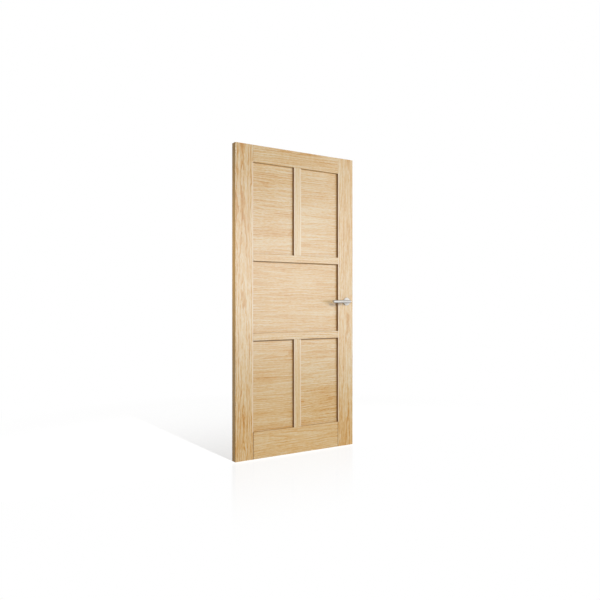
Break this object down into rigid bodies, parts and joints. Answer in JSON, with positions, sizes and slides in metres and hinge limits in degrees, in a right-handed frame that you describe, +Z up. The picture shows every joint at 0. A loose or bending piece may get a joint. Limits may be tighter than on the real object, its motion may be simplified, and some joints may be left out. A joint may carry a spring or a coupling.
{
  "type": "interior door",
  "caption": "Pale oak panelled interior door leaf of stiles, rails, muntins and flat recessed panels, with a straight steel lever on a round rose on each face and a sprung mortice latch.",
  "frame": {"origin": "middle of the leaf's bottom edge, at mid-width and mid-thickness", "axes": "+Z up the leaf, +Y through its thickness from the front face to the back, -X towards the hinge edge"},
  "size_m": [0.925, 0.144, 1.981],
  "materials": {
    "oak_frame": "satin",
    "oak_panel": "satin",
    "beech": "matte",
    "satin_steel": "satin",
    "plated_zinc": "satin",
    "nylon": "matte",
    "plain_steel": "satin"
  },
  "bodies": {
    "leaf": {"hinge_stile": "oak_frame", "lock_stile": "oak_frame", "top_rail": "oak_frame", "upper_cross_rail": "oak_frame", "lower_cross_rail": "oak_frame", "bottom_rail": "oak_frame", "upper_muntin": "oak_frame", "lower_muntin": "oak_frame", "upper_left_panel": "oak_panel", "upper_right_panel": "oak_panel", "middle_panel": "oak_panel", "lower_left_panel": "oak_panel", "lower_right_panel": "oak_panel", "rail_dowels": "beech", "muntin_dowels": "beech", "front_rose_cover": "satin_steel", "rear_rose_cover": "satin_steel", "forend": "satin_steel", "forend_screws": "satin_steel", "front_rose_base": "plated_zinc", "rear_rose_base": "plated_zinc", "latch_case": "plated_zinc", "latch_cap": "plated_zinc", "front_neck_bush": "nylon", "rear_neck_bush": "nylon", "front_return_spring": "plain_steel", "rear_return_spring": "plain_steel", "through_bolts": "plain_steel", "cap_rivets": "plain_steel", "bolt_spring": "plain_steel"},
    "lever_set": {"front_lever": "satin_steel", "rear_lever": "satin_steel", "spindle": "plain_steel", "follower": "plated_zinc", "front_drive_washer": "plain_steel", "rear_drive_washer": "plain_steel", "front_circlip": "plain_steel", "rear_circlip": "plain_steel", "front_grub_screw": "plain_steel", "rear_grub_screw": "plain_steel"},
    "latch_bolt": {"latch_bolt": "satin_steel"}
  },
  "joints": [
    {"name": "lever_turn", "type": "hinge", "parent": "leaf", "child": "lever_set", "pos_m": [0.4005, 0, 0.995], "axis": [0, -1, 0], "range_deg": [0, 55], "stiffness_Nm_per_rad": 1, "springref_deg": -45.84, "deforming": ["front_return_spring", "rear_return_spring"]},
    {"name": "latch_retract", "type": "slide", "parent": "leaf", "child": "latch_bolt", "axis": [-1, 0, 0], "range_m": [0, 0.01], "stiffness_N_per_m": 250, "springref_m": -0.02, "deforming": ["bolt_spring"]}
  ],
  "couplings": [
    {"joint": "latch_retract", "follows": "lever_turn", "m_per_rad": 0.010417}
  ]
}
